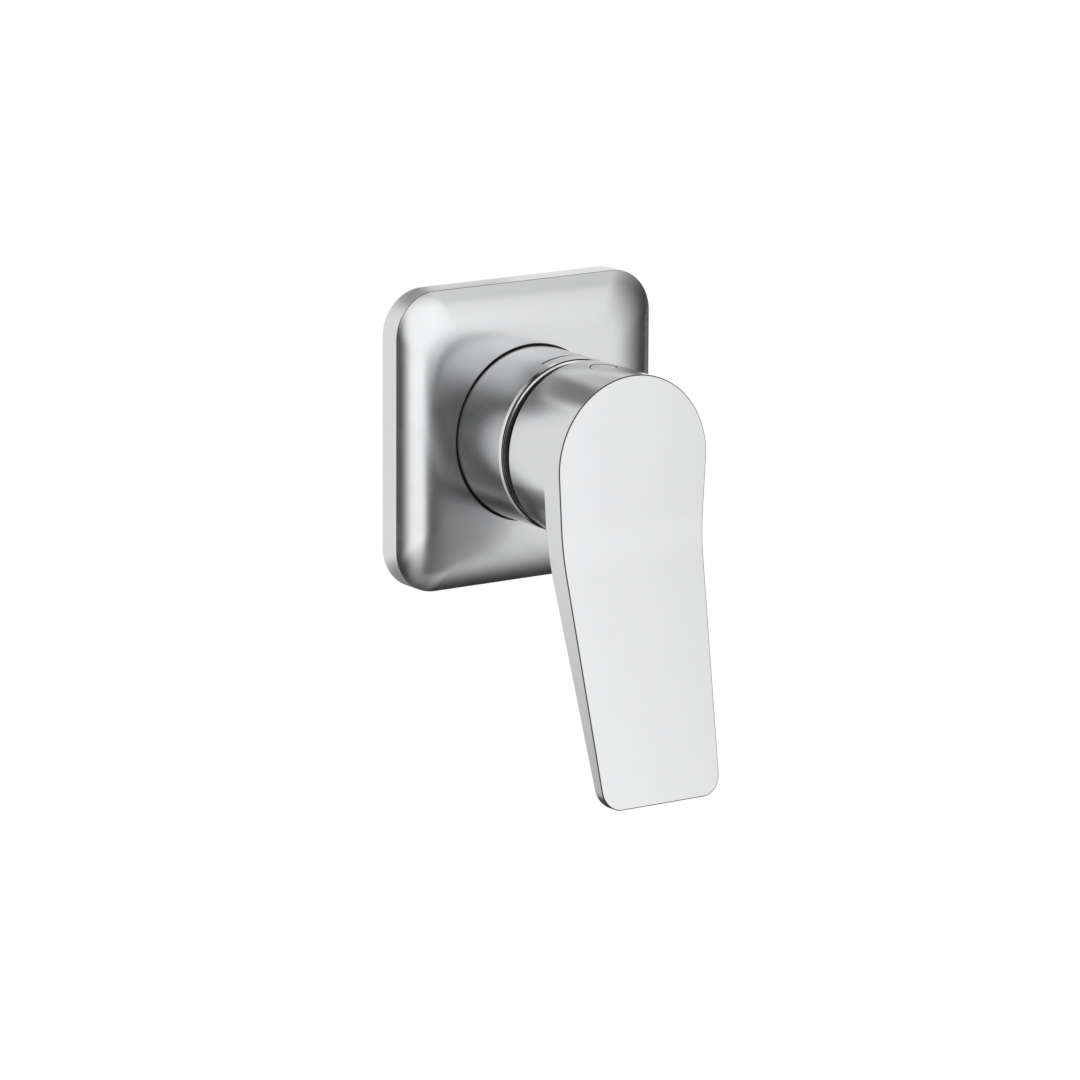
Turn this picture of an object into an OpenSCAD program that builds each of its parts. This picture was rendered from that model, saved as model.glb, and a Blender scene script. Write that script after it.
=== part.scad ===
// Concealed single-lever mixer for a bath or shower.
// The finished wall is the plane y = 0. The trim stands out of it towards -Y, and the brass body
// lies behind it. The origin is where the handle's axis meets the wall, and +Z is up.
// Every piece is drawn with its axis along +Z, which is then laid along -Y, out of the wall.

/* [Cover plate] */
// Side of the square cover plate
plate_side = 80; // [72:1:100]
// Radius of the plate's four corners
plate_corner = 12; // [11.5:0.5:20]
// Distance from the wall to the flat front of the plate
plate_depth = 10; // [8.5:0.5:14]
// Height of the straight rim around the plate
rim_depth = 6.7; // [5:0.1:7.5]
// Width of the soft roll between the rim and the flat front
roll_width = 10.5; // [6:0.5:11]
// Wall of the cover plate
plate_wall = 2.2; // [1.5:0.1:2.6]
// Thickness of the foam gasket behind the rim
gasket_depth = 3; // [2:0.5:4]

/* [Sleeve] */
// Radius of the round sleeve
sleeve_r = 23.2; // [22.8:0.1:26]
// Wall of the sleeve
sleeve_wall = 1.2; // [0.8:0.1:1.4]
// Distance from the wall to the front edge of the sleeve
sleeve_front = 29.9; // [28:0.1:30.5]
// Angle that the engraved index line covers to each side of the top
index_angle = 20; // [8:1:25]
// How far the bright ring stands out of the sleeve's mouth
ring_proud = 1.3; // [0.8:0.1:1.5]

/* [Handle] */
// Radius of the handle's round cap
cap_r = 23.1; // [22.8:0.1:24]
// Wall of the cap's skirt
cap_wall = 1.8; // [1.4:0.1:2]
// Open slit between the bright ring and the skirt of the cap
ring_slit = 2.6; // [2.4:0.1:4]
// Distance from the wall to the flat front of the cap
cap_front = 56.9; // [55:0.1:62]
// Distance from the handle's axis down to the tip of the lever
lever_drop = 87.2; // [70:0.5:110]
// Width of the lever at its tip, measured where its sides would meet the bottom edge
tip_width = 36.3; // [24:0.5:42]
// Radius of the two corners at the tip
tip_corner = 5.6; // [2:0.2:9]
// Thickness of the lever where it leaves the cap
lever_thick = 7.3; // [6.6:0.1:8.2]
// Distance from the handle's axis down to the bend in the lever
bend_drop = 21; // [17:0.5:26]
// Outward slope of the lever's front below the bend
front_slope = 12.55; // [4:0.05:16]
// Outward slope of the lever's back below the bend
back_slope = 16; // [4:0.1:16.5]
// Radius of the bend
bend_r = 58; // [20:1:80]
// Radius of the round cover over the set screw
cover_r = 3.5; // [3:0.1:4.2]

/* [Motion] */
// Angle that the lever lifts from closed to full flow
lift_angle = 25; // [15:1:27]
// Angle that the lever turns to each side
turn_angle = 50; // [30:1:60]

/* [Cartridge] */
// Radius of the cartridge
cartridge_r = 17.5; // [17:0.1:17.5]
// Side of the square spindle
spindle_side = 8; // [7:0.1:8.4]
// Distance from the wall to the tip of the spindle
spindle_tip = 46.5; // [44:0.5:47.5]
// Radius of the pivot pin
pin_r = 1.5; // [1:0.1:2]
// Distance from the pivot to the ball foot of the spindle
foot_arm = 12.5; // [11.5:0.1:12.8]

/* [Valve body] */
// Distance from the wall back to the axes of the four ports
port_depth = 36; // [34:1:50]
// Distance from the body's axis to the end of each inlet
inlet_reach = 41; // [38:1:50]
// Distance from the body's axis to the end of each outlet
outlet_reach = 41; // [38:1:50]
// Radius of the tapped hole of a half inch pipe thread
thread_r = 9.32; // [9:0.01:10.5]
// Length of the pipe thread
thread_length = 14; // [12:0.5:16]
// Distance between neighbouring screw holes in the body's square foot
lug_spacing = 54; // [50:1:60]
// Radius of the screw holes in the foot
lug_hole_r = 2.75; // [2:0.05:3.2]

/* [Hidden] */
$fn = 96;

// Overlap that carries a cut clear through a face
past = 1;
// How far a round crosses the two edges that it joins, so that it cuts them cleanly
bite = 0.003;

// Cover plate
plate_gap = 0.3;
collar_wall = 2.2;
collar_back = 1.5;
seal_r = 0.9;
plate_seal_at = 4.5;
gasket_width = 5;

// Sleeve
sleeve_bore = sleeve_r - sleeve_wall;
sleeve_back = -6;
sleeve_chamfer = 0.5;
index_at = 26.5;
index_width = 0.6;
index_cut = 0.3;
ring_gap = 0.05;
ring_r = sleeve_bore - ring_gap;
ring_wall = 2.9;
ring_length = 9;
ring_chamfer = 0.4;
ring_front = sleeve_front + ring_proud;

// Handle
cap_back = ring_front + ring_slit;
cap_bore = cap_r - cap_wall;
cap_face = 4.4;
cap_floor = cap_front - cap_face;
boss_r = 9;
boss_recess = 3.2;
boss_back = cap_back + boss_recess;
adapter_r = 6.3;
spline_r = 6.8;
spline_width = 1.1;
spline_count = 16;
tip_room = 1.3;
adapter_floor = spindle_tip + tip_room;
slide_fit = 0.05;
screw_r = 2.5;
screw_at = 43.2;
screw_stand = 1.5;
screw_out = boss_r + screw_stand;
socket_key = 2.5;
socket_depth = 3;
cover_gap = 0.15;
cover_depth = 2.4;
lever_back = cap_front - lever_thick;
tip_half = tip_width / 2;
tip_distance = norm([tip_half, lever_drop]);
side_angle = atan2(lever_drop, tip_half) - acos(cap_r / tip_distance);

// Cartridge, from its base to the top of the turret
pivot_at = 16;
foot_at = pivot_at - foot_arm;
foot_r = 3;
foot_gap = 0.3;
foot_room = 2;
arm_r = 1.9;
hub_r = 5;
hub_gap = 0.3;
side_gap = 0.2;
pin_gap = 0.05;
pin_half = 10.5;
turret_top = 22;
turret_r = 12;
turret_fit = 0.08;
flange_r = 14.9;
flange_back = 6;
flange_front = 9;
flange_gap = 0.2;
cavity_r = 15.2;
throat_r = 15.3;
shoulder_at = 11.5;
housing_front = 14.5;
housing_back = -12.5;
base_back = -16;
turret_seal_r = 0.8;
turret_seal_at = 11.9;
fork_inner = 6.3;
fork_outer = 9.5;
fork_half = 9;
fork_back = -1.7;
lug_r = 13.6;
lug_half_angle = 15;
lug_back = 14.7;
lug_front = 16.8;
limit_r = 15;
limit_bore = 12.3;
limit_front = 17;
limit_gap = 0.3;
limit_spare_angle = 1;

// Discs: they slide with the carrier, which starts above the axis and ends below it
disc_back = housing_back;
disc_face = -9;
disc_front = -5.5;
disc_r = 12;
disc_offset = 2.6;
fixed_disc_r = 14.8;
carrier_plate = -2;
carrier_top = 5.4;
carrier_half = 6.1;
carrier_long = 6.2;
mix_depth = 2;
mix_inlet_r = 6.8;
mix_inlet_at = 2.2;
mix_outlet_r = 4.6;
mix_outlet_at = 8;
port_r = 3;
inlet_port = [7.6, -5.4];
outlet_port = [0, 8.5];
ports = [[-inlet_port.x, inlet_port.y], inlet_port, outlet_port];
peg_r = 2.2;
peg_length = 3;
peg_at = [12, 7.5];
peg_gap = 0.1;
ring_seal_outer = 5.2;
ring_seal_inner = 3.6;
ring_seal_depth = 1.8;

// Nut
slip_depth = 0.6;
nut_back = shoulder_at + slip_depth;
nut_bore = throat_r + 0.3;
nut_thread_r = 19;
neck_front = 15.5;
nut_head = 4;
nut_flats = 36;
nut_slip_r = 17.4;

// Valve body
neck_r = sleeve_bore - 0.7;
neck_seal_floor = sleeve_bore - 2 * seal_r;
neck_seals_at = [-1.5, 6];
cartridge_bore = cartridge_r + 0.1;
thread_relief = 0.1;
arm_end_flats = 30;
arm_end_length = 10;
arm_outer = 13.5;
core_r = 20;
passage_r = 3.6;
inlet_passage_end = 7.5;
foot_plate = 4;
lug_outer_r = 6.5;
foot_back = -(port_depth + arm_end_flats / 2);
plug_head = 3;
plug_socket = 8;
plug_socket_depth = 7;
plug_seal_depth = 1.6;
plug_short = 2;
plug_flange_r = 13;
plug_seal_r = 12;

// Lays a piece drawn along +Z along -Y, out of the wall
module out_of_wall() {
    rotate([90, 0, 0]) children();
}

// Tube from one height to another
module tube(outer, inner, from, to) {
    translate([0, 0, from]) difference() {
        cylinder(r = outer, h = to - from);
        translate([0, 0, -past]) cylinder(r = inner, h = to - from + 2 * past);
    }
}

// Solid round from one height to another
module rod(r, from, to) {
    translate([0, 0, from]) cylinder(r = r, h = to - from);
}

// Round rubber ring of section radius r, whose section is centred on the radius ring
module o_ring(ring, r, at) {
    translate([0, 0, at]) rotate_extrude() translate([ring, 0]) circle(r = r);
}

// Hexagonal prism, measured across its flats
module hexagon(flats, h) {
    cylinder(r = flats / 2 / cos(30), h = h, $fn = 6);
}

// Part of a ring, as a slice of the given half angle to each side of the direction middle
module ring_sector(outer, inner, from, to, middle, half_angle) {
    rotate([0, 0, middle - half_angle]) rotate_extrude(angle = 2 * half_angle)
        translate([inner, from]) square([outer - inner, to - from]);
}

// Square pad with rounded corners
module rounded_square(half, corner, h) {
    inner = half - corner;
    linear_extrude(height = h) union() {
        square([2 * half, 2 * inner], center = true);
        square([2 * inner, 2 * half], center = true);
        for (x = [-inner, inner], y = [-inner, inner]) translate([x, y]) circle(r = corner);
    }
}

// Half of the plate's section: a straight rim that rolls over into the flat front
module roll_section(reach, front, rim, roll) {
    roll_height = front - rim;
    roll_r = (roll * roll + roll_height * roll_height) / (2 * roll_height);
    intersection() {
        square([reach, front]);
        union() {
            square([reach - roll, front]);
            translate([reach - roll, front - roll_r]) circle(r = roll_r);
        }
    }
}

// The plate's whole form: two crossed bars of that section and four turned corners
module pillow(half, corner, front, rim, roll) {
    inner = half - corner;
    for (turn = [0, 90]) rotate([0, 0, turn]) translate([0, inner, 0]) rotate([90, 0, 0])
        linear_extrude(height = 2 * inner) union() {
            roll_section(half, front, rim, roll);
            mirror([1, 0]) roll_section(half, front, rim, roll);
        }
    for (turn = [0 : 90 : 270]) rotate([0, 0, turn]) translate([inner, inner, 0])
        rotate_extrude(angle = 90) roll_section(corner, front, rim, roll);
}

module cover_plate() {
    half = plate_side / 2;
    hole_r = sleeve_r + plate_gap;
    color("#d7d9dc") out_of_wall() difference() {
        union() {
            difference() {
                pillow(half, plate_corner, plate_depth, rim_depth, roll_width);
                translate([0, 0, -past]) pillow(
                    half - plate_wall, plate_corner - plate_wall, plate_depth - plate_wall + past,
                    rim_depth - plate_wall + past, roll_width - plate_wall
                );
            }
            rod(hole_r + collar_wall, collar_back, plate_depth - plate_wall / 2);
        }
        rod(hole_r, -past, plate_depth + past);
        rod(sleeve_r + 2 * seal_r, plate_seal_at - seal_r, plate_seal_at + seal_r);
    }
}

module plate_gasket() {
    half = plate_side / 2 - plate_wall;
    corner = plate_corner - plate_wall;
    color("#3a3a3c") out_of_wall() difference() {
        rounded_square(half, corner, gasket_depth);
        translate([0, 0, -past]) rounded_square(
            half - gasket_width, corner - gasket_width, gasket_depth + 2 * past
        );
    }
}

module plate_seal() {
    color("#202020") out_of_wall() o_ring(sleeve_r + seal_r, seal_r, plate_seal_at);
}

module sleeve() {
    color("#cfd1d4") out_of_wall() difference() {
        rotate_extrude() polygon([
            [sleeve_bore, sleeve_back],
            [sleeve_r, sleeve_back],
            [sleeve_r, sleeve_front - sleeve_chamfer],
            [sleeve_r - sleeve_chamfer, sleeve_front],
            [sleeve_bore, sleeve_front]
        ]);
        ring_sector(
            sleeve_r + past, sleeve_r - index_cut,
            index_at - index_width / 2, index_at + index_width / 2, 90, index_angle
        );
    }
}

module sleeve_seals() {
    color("#202020") out_of_wall() for (at = neck_seals_at)
        o_ring(sleeve_bore - seal_r, seal_r, at);
}

module cap_ring() {
    color("#e2e4e6") out_of_wall() rotate_extrude() polygon([
        [ring_r - ring_wall, ring_front - ring_length],
        [ring_r, ring_front - ring_length],
        [ring_r, ring_front - ring_chamfer],
        [ring_r - ring_chamfer, ring_front],
        [ring_r - ring_wall + ring_chamfer, ring_front],
        [ring_r - ring_wall, ring_front - ring_chamfer]
    ]);
}

// Corner that is cut off to round the tip, with the round's centre at the origin: everything
// outside the round between its two ends
module tip_cut() {
    out = tip_corner + past;
    difference() {
        polygon([
            [0, 0],
            [out * cos(side_angle), -out * sin(side_angle)],
            [2 * out, -2 * out],
            [0, -out]
        ]);
        circle(r = tip_corner + bite);
    }
}

// Outline of the handle seen from the front: a circle with two sides drawn tangent to it,
// which close in on the rounded tip
module handle_outline() {
    start = cap_r - bite;
    corner_y = tip_corner - lever_drop;
    corner_x = (cap_r - tip_corner + corner_y * sin(side_angle)) / cos(side_angle);
    difference() {
        union() {
            circle(r = cap_r);
            polygon([
                [start * cos(side_angle), -start * sin(side_angle)],
                [tip_half, -lever_drop],
                [-tip_half, -lever_drop],
                [-start * cos(side_angle), -start * sin(side_angle)]
            ]);
        }
        for (side = [0, 1]) mirror([side, 0]) translate([corner_x, corner_y]) tip_cut();
    }
}

// Sliver between a bend's sharp corner at the origin and its round: one leg goes up, and the
// other goes down and leans out by the slope
module bend_round(slope) {
    leg = bend_r * tan(slope / 2);
    difference() {
        polygon([[0, leg], [0, 0], [leg * sin(slope), -leg * cos(slope)], [bend_r, leg]]);
        translate([bend_r, leg]) circle(r = bend_r + bite);
    }
}

// Side view of the lever, out of the wall to the right and up: a flat top, then the bend, and
// below it two faces that lean out by different slopes, so that the lever thins to its tip
module lever_side() {
    top = cap_r + past;
    bottom = -lever_drop - past;
    run = -bend_drop - bottom;
    difference() {
        union() {
            polygon([
                [lever_back, top],
                [lever_back, -bend_drop],
                [lever_back + run * tan(back_slope), bottom],
                [cap_front + run * tan(front_slope), bottom],
                [cap_front, -bend_drop],
                [cap_front, top]
            ]);
            translate([cap_front, -bend_drop]) bend_round(front_slope);
        }
        translate([lever_back, -bend_drop]) bend_round(back_slope);
    }
}

// Splined outline of the adapter between handle and spindle
module spline_outline(gap) {
    circle(r = adapter_r + gap);
    for (i = [0 : spline_count - 1]) rotate(i * 360 / spline_count)
        translate([0, -spline_width / 2 - gap]) square([spline_r + gap, spline_width + 2 * gap]);
}

// Hole or screw that runs from the spindle straight up, at the set screw's place
module radial(r, from, to) {
    translate([0, from, screw_at]) rotate([-90, 0, 0]) cylinder(r = r, h = to - from);
}

module handle() {
    reach = cap_front + lever_drop * tan(front_slope);
    color("#e6e7e9") out_of_wall() difference() {
        union() {
            rod(cap_r, cap_back, lever_back);
            intersection() {
                translate([0, 0, lever_back]) linear_extrude(height = reach - lever_back)
                    handle_outline();
                translate([-cap_r - past, 0, 0]) rotate([0, -90, 180])
                    linear_extrude(height = 2 * (cap_r + past)) mirror([0, 1]) lever_side();
            }
        }
        difference() {
            rod(cap_bore, cap_back - past, cap_floor);
            rod(boss_r, boss_back, cap_floor + past);
        }
        translate([0, 0, boss_back - past]) linear_extrude(height = adapter_floor - boss_back + past)
            spline_outline(slide_fit);
        radial(screw_r, 0, boss_r + past);
        radial(cover_r + cover_gap, boss_r + past, cap_r + past);
    }
}

module handle_adapter() {
    hole = spindle_side + 2 * slide_fit;
    color("#1f1f21") out_of_wall() difference() {
        translate([0, 0, boss_back]) linear_extrude(height = adapter_floor - boss_back)
            difference() {
                spline_outline(0);
                square(hole, center = true);
            }
        radial(screw_r, 0, spline_r + past);
    }
}

module set_screw() {
    color("#8e9094") out_of_wall() difference() {
        radial(screw_r, spindle_side / 2, screw_out);
        translate([0, screw_out + past, screw_at]) rotate([90, 0, 0]) hexagon(socket_key, socket_depth + past);
    }
}

module screw_cover() {
    color("#c9cbce") out_of_wall() intersection() {
        rod(cap_r, cap_back, cap_front);
        radial(cover_r, cap_r - cover_depth, cap_r + past);
    }
}

module spindle() {
    tip_chamfer = 0.8;
    color("#b9bbbe") out_of_wall() difference() {
        union() {
            translate([0, 0, pivot_at]) linear_extrude(height = spindle_tip - pivot_at)
                square(spindle_side, center = true);
            translate([-spindle_side / 2, 0, pivot_at]) rotate([0, 90, 0])
                cylinder(r = hub_r, h = spindle_side);
            rod(arm_r, foot_at, pivot_at);
            translate([0, 0, foot_at]) sphere(r = foot_r);
        }
        translate([-spindle_side, 0, pivot_at]) rotate([0, 90, 0])
            cylinder(r = pin_r + pin_gap, h = 2 * spindle_side);
        for (turn = [0 : 90 : 270]) rotate([0, 0, turn])
            translate([spindle_side / 2, 0, spindle_tip]) rotate([0, 45, 0])
                cube([sqrt(2) * tip_chamfer, 2 * spindle_side, sqrt(2) * tip_chamfer], center = true);
    }
}

module pivot_pin() {
    color("#9a9ca0") out_of_wall() translate([-pin_half, 0, pivot_at]) rotate([0, 90, 0])
        cylinder(r = pin_r, h = 2 * pin_half);
}

// Room in the turret for the spindle over its whole lift, as an outline with up to the right
// and out of the wall upwards
module spindle_room() {
    shank = spindle_side / 2 + hub_gap;
    arm = arm_r + hub_gap;
    rise = turret_top + past - pivot_at;
    fall = pivot_at - flange_back + past;
    translate([0, pivot_at]) {
        circle(r = hub_r + hub_gap);
        polygon([
            [-shank, 0],
            [shank / cos(lift_angle), 0],
            [shank / cos(lift_angle) + rise * tan(lift_angle), rise],
            [-shank, rise]
        ]);
        polygon([
            [arm, 0],
            [arm, -fall],
            [-arm / cos(lift_angle) - fall * tan(lift_angle), -fall],
            [-arm / cos(lift_angle), 0]
        ]);
        rotate(-lift_angle) translate([0, -foot_arm]) circle(r = foot_r + hub_gap);
    }
}

module turret() {
    room = spindle_side + 2 * side_gap;
    color("#f1f1ee") out_of_wall() difference() {
        union() {
            rod(turret_r, flange_front, turret_top);
            rod(flange_r, flange_back, flange_front);
            ring_sector(lug_r, turret_r - past, lug_back, lug_front, -90, lug_half_angle);
            for (side = [-1, 1]) intersection() {
                rod(flange_r, fork_back, flange_back + past);
                translate([side * (fork_inner + fork_outer) / 2, 0, flange_back / 2])
                    cube([fork_outer - fork_inner, 2 * fork_half, 2 * flange_back], center = true);
            }
        }
        translate([-room / 2, 0, 0]) rotate([90, 0, 90]) linear_extrude(height = room) spindle_room();
        translate([-pin_half, 0, pivot_at]) rotate([0, 90, 0]) cylinder(r = pin_r, h = 2 * pin_half);
        tube(turret_r + past, turret_r - 2 * turret_seal_r,
            turret_seal_at - turret_seal_r, turret_seal_at + turret_seal_r);
    }
}

module turret_seal() {
    color("#202020") out_of_wall() o_ring(turret_r - turret_seal_r, turret_seal_r, turret_seal_at);
}

module limit_ring() {
    color("#c8322b") out_of_wall() difference() {
        tube(limit_r, limit_bore, housing_front, limit_front);
        ring_sector(
            lug_r + limit_gap, limit_bore - past, housing_front - past, limit_front + past,
            -90, lug_half_angle + turn_angle + limit_spare_angle
        );
    }
}

module disc_carrier() {
    color("#e9e6d8") out_of_wall() difference() {
        union() {
            translate([0, disc_offset, 0]) rod(disc_r, disc_front, carrier_plate);
            translate([-carrier_half, -carrier_long, carrier_plate - past])
                cube([2 * carrier_half, 2 * carrier_long, carrier_top - carrier_plate + past]);
        }
        rod(foot_r + foot_gap, foot_at - foot_r - foot_room, carrier_top + past);
    }
}

// The recess under the moving disc lies over the outlet, and reaches the inlets once it slides
module moving_disc() {
    color("#f7f7f5") out_of_wall() difference() {
        translate([0, disc_offset, 0]) rod(disc_r, disc_face, disc_front);
        translate([0, mix_inlet_at, 0]) rod(mix_inlet_r, disc_face - past, disc_face + mix_depth);
        translate([0, mix_outlet_at, 0]) rod(mix_outlet_r, disc_face - past, disc_face + mix_depth);
    }
}

// The three water ways, for the discs, the base and the body to share
module water_ways(r, from, to) {
    for (p = ports) translate([p.x, p.y, 0]) rod(r, from, to);
}

module pegs(r, from, to) {
    for (side = [-1, 1]) translate([side * peg_at.x, peg_at.y, 0]) rod(r, from, to);
}

module fixed_disc() {
    color("#f2f2f0") out_of_wall() difference() {
        rod(fixed_disc_r, disc_back, disc_face);
        water_ways(port_r, disc_back - past, disc_face + past);
    }
}

module cartridge_housing() {
    color("#e4e2da") out_of_wall() difference() {
        union() {
            rod(cartridge_r, housing_back, shoulder_at);
            rod(throat_r, housing_back, housing_front);
        }
        rod(cavity_r, housing_back - past, flange_front + flange_gap);
        rod(turret_r + turret_fit, 0, housing_front + past);
    }
}

module cartridge_base() {
    color("#3b5fa8") out_of_wall() difference() {
        union() {
            rod(cartridge_r, base_back, housing_back);
            pegs(peg_r, base_back - peg_length, base_back + past);
        }
        water_ways(port_r, base_back - past, housing_back + past);
        water_ways(ring_seal_outer, base_back - past, base_back + ring_seal_depth);
    }
}

module base_seals() {
    color("#202020") out_of_wall() difference() {
        water_ways(ring_seal_outer, base_back, base_back + ring_seal_depth);
        water_ways(ring_seal_inner, base_back - past, base_back + ring_seal_depth + past);
    }
}

module slip_ring() {
    color("#f5f5f5") out_of_wall() tube(nut_slip_r, nut_bore, shoulder_at, nut_back);
}

module cartridge_nut() {
    color("#b08d3e") out_of_wall() difference() {
        union() {
            rod(nut_thread_r, nut_back, neck_front);
            translate([0, 0, neck_front]) hexagon(nut_flats, nut_head);
        }
        rod(nut_bore, nut_back - past, neck_front + nut_head + past);
    }
}

// One arm of the body, along +X from the body's axis: a round pipe with a hexagonal end
module port_arm(reach) {
    translate([0, 0, -port_depth]) rotate([0, 90, 0]) {
        cylinder(r = arm_outer, h = reach);
        translate([0, 0, reach - arm_end_length]) rotate([0, 0, 30])
            hexagon(arm_end_flats, arm_end_length);
    }
}

// The tapped end of an arm along +X
module port_thread(reach) {
    translate([reach - thread_length, 0, -port_depth]) rotate([0, 90, 0])
        cylinder(r = thread_r, h = thread_length + past);
}

module arm_passage(from, reach) {
    translate([from, 0, -port_depth]) rotate([0, 90, 0]) cylinder(r = passage_r, h = reach - from);
}

// Cross of four lugs that the body is screwed down by
module foot_outline() {
    reach = lug_spacing / 2 * sqrt(2);
    union() {
        for (turn = [45, 135]) rotate(turn) square([2 * reach, 2 * lug_outer_r], center = true);
        for (turn = [45 : 90 : 315]) rotate(turn) translate([reach, 0]) circle(r = lug_outer_r);
    }
}

module valve_body() {
    inlets = [0, 180];
    outlets = [90, 270];
    half_lug = lug_spacing / 2;
    color("#c2a04a") out_of_wall() difference() {
        union() {
            rod(neck_r, -port_depth, neck_front);
            rod(core_r, foot_back, -port_depth + past);
            for (turn = inlets) rotate([0, 0, turn]) port_arm(inlet_reach);
            for (turn = outlets) rotate([0, 0, turn]) port_arm(outlet_reach);
            translate([0, 0, foot_back]) linear_extrude(height = foot_plate) foot_outline();
        }
        rod(cartridge_bore, base_back, neck_front + past);
        rod(nut_thread_r, shoulder_at - thread_relief, neck_front + past);
        for (at = neck_seals_at)
            tube(neck_r + past, neck_seal_floor, at - seal_r, at + seal_r);
        for (turn = inlets) rotate([0, 0, turn]) {
            port_thread(inlet_reach);
            arm_passage(inlet_passage_end, inlet_reach);
        }
        for (turn = outlets) rotate([0, 0, turn]) {
            port_thread(outlet_reach);
            arm_passage(0, outlet_reach);
        }
        water_ways(port_r, -port_depth, base_back + past);
        pegs(peg_r + peg_gap, base_back - peg_length - peg_gap, base_back + past);
        for (x = [-half_lug, half_lug], y = [-half_lug, half_lug]) translate([x, y, 0])
            rod(lug_hole_r, foot_back - past, foot_back + foot_plate + past);
    }
}

// Turns a piece drawn along +Z so that it runs up into the lower outlet from its open end
module into_lower_outlet() {
    out_of_wall() translate([0, -outlet_reach, -port_depth]) rotate([-90, 0, 0]) children();
}

module outlet_plug() {
    color("#b99544") into_lower_outlet() difference() {
        union() {
            rod(thread_r, -plug_seal_depth, thread_length - plug_short);
            rod(plug_flange_r, -plug_seal_depth - plug_head, -plug_seal_depth);
        }
        translate([0, 0, -plug_seal_depth - plug_head - past])
            hexagon(plug_socket, plug_socket_depth + past);
    }
}

module plug_seal() {
    color("#303030") into_lower_outlet() tube(plug_seal_r, thread_r, -plug_seal_depth, 0);
}

cover_plate();
plate_gasket();
plate_seal();
sleeve();
sleeve_seals();
cap_ring();
handle();
handle_adapter();
set_screw();
screw_cover();
spindle();
pivot_pin();
turret();
turret_seal();
limit_ring();
disc_carrier();
moving_disc();
fixed_disc();
cartridge_housing();
cartridge_base();
base_seals();
slip_ring();
cartridge_nut();
valve_body();
outlet_plug();
plug_seal();
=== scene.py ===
import bpy
import bmesh
import math
from mathutils import Matrix, Vector


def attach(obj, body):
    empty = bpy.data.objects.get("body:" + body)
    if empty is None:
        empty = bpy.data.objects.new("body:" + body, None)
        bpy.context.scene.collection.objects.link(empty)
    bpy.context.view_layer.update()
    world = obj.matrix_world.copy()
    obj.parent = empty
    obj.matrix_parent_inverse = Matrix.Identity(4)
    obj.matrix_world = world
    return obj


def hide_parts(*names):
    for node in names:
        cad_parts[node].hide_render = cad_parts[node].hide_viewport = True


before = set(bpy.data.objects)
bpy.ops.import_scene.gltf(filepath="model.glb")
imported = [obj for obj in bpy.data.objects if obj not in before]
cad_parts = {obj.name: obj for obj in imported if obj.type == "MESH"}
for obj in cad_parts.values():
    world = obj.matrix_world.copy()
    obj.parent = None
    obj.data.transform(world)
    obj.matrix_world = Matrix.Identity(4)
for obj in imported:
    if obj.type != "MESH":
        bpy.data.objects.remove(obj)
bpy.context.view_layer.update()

scene = bpy.context.scene


def add_object(name, data):
    obj = bpy.data.objects.new(name, data)
    scene.collection.objects.link(obj)
    return obj


# camera, fitted to edges of the photo together with the part's main sizes
AZIMUTH, ELEVATION, ROLL = math.radians(-34.319), math.radians(12.649), math.radians(0.300)
DISTANCE, MOVED_RIGHT, MOVED_UP = 1.73237, 0.008185, -0.030134
FOCAL, PHOTO_WIDTH = 6561.6, 1080        # in pixels of the photo
SENSOR = 36


def make_camera():
    back = Vector((math.sin(AZIMUTH) * math.cos(ELEVATION),
                   -math.cos(AZIMUTH) * math.cos(ELEVATION), math.sin(ELEVATION)))
    right = Vector((math.cos(AZIMUTH), math.sin(AZIMUTH), 0))
    up = back.cross(right)
    place = back * DISTANCE + right * MOVED_RIGHT + up * MOVED_UP
    turned_right = right * math.cos(ROLL) + up * math.sin(ROLL)
    turned_up = up * math.cos(ROLL) - right * math.sin(ROLL)
    data = bpy.data.cameras.new("camera")
    data.sensor_width = SENSOR
    data.lens = SENSOR * FOCAL / PHOTO_WIDTH
    data.clip_start, data.clip_end = 0.05, 20
    camera = add_object("camera", data)
    axes = Matrix((turned_right, turned_up, back)).transposed()
    camera.matrix_world = Matrix.Translation(place) @ axes.to_4x4()
    scene.camera = camera


make_camera()
scene.view_settings.view_transform = "Standard"


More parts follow.
